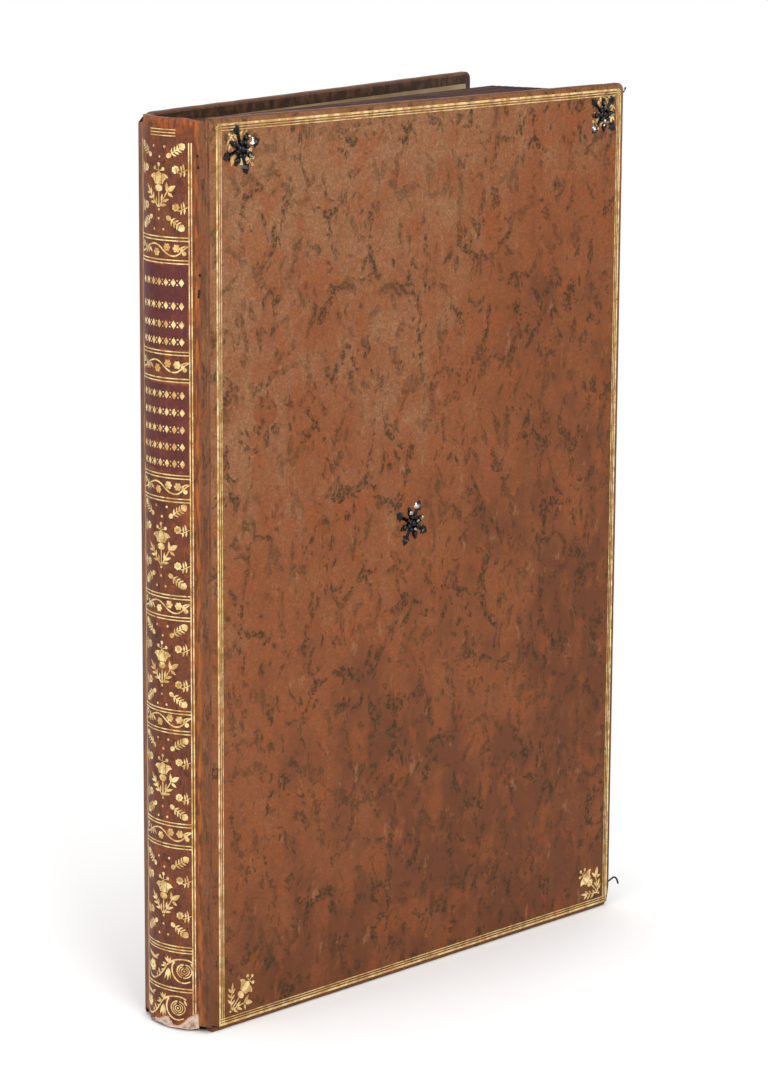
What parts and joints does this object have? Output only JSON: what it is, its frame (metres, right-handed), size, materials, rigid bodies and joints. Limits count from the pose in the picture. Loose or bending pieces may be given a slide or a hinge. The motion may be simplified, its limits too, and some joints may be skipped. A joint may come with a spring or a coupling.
{
  "type": "antique leather book",
  "caption": "Tall thin folio bound in marbled calf with a gilt rounded spine, standing upright; both covers turn on their joints, the rear one splayed open.",
  "frame": {"origin": "middle of the front cover's tail edge, on the surface that the book stands on", "axes": "+X from the joint to the fore edge of the front cover, +Y from the front cover towards the rear one, +Z from tail to head"},
  "size_m": [0.3083, 0.1067, 0.43],
  "materials": {
    "cover_calf": "marbled calf, worn satin",
    "spine_calf": "marbled calf with gilt tooling, worn satin",
    "label_morocco": "thin goatskin, satin",
    "pasteboard": "matt",
    "leaves": "edges stained dark and dusty",
    "endpaper": "matt, toned",
    "lining_paper": "matt, torn",
    "hemp_cord": "matt",
    "endband_thread": "faded silk",
    "blackened_metal": "blackened silver, glossy on its edges",
    "nail_metal": "tarnished"
  },
  "bodies": {
    "book_block": {"text_block": "leaves", "front_endleaf": "endpaper", "rear_endleaf": "endpaper", "spine_lining": "lining_paper", "sewing_cords": "hemp_cord", "head_endband": "endband_thread", "tail_endband": "endband_thread", "spine_leather": "spine_calf", "title_label": "label_morocco", "volume_label": "label_morocco"},
    "front_cover": {"front_board": "pasteboard", "front_cover_leather": "cover_calf", "front_pastedown": "endpaper", "front_slips": "hemp_cord", "head_joint_ornament": "blackened_metal", "head_fore_ornament": "blackened_metal", "centre_ornament": "blackened_metal", "ornament_nails": "nail_metal", "wire_stubs": "blackened_metal"},
    "rear_cover": {"rear_board": "pasteboard", "rear_cover_leather": "cover_calf", "rear_pastedown": "endpaper", "rear_slips": "hemp_cord"}
  },
  "joints": [
    {"name": "front_cover_joint", "type": "hinge", "parent": "book_block", "child": "front_cover", "pos_m": [-0.1445, -0.0025, 0.215], "axis": [0, 0, -1], "range_deg": [0, 175]},
    {"name": "rear_cover_joint", "type": "hinge", "parent": "book_block", "child": "rear_cover", "pos_m": [-0.1445, 0.0425, 0.215], "axis": [0, 0, 1], "range_deg": [-5, 160]}
  ]
}
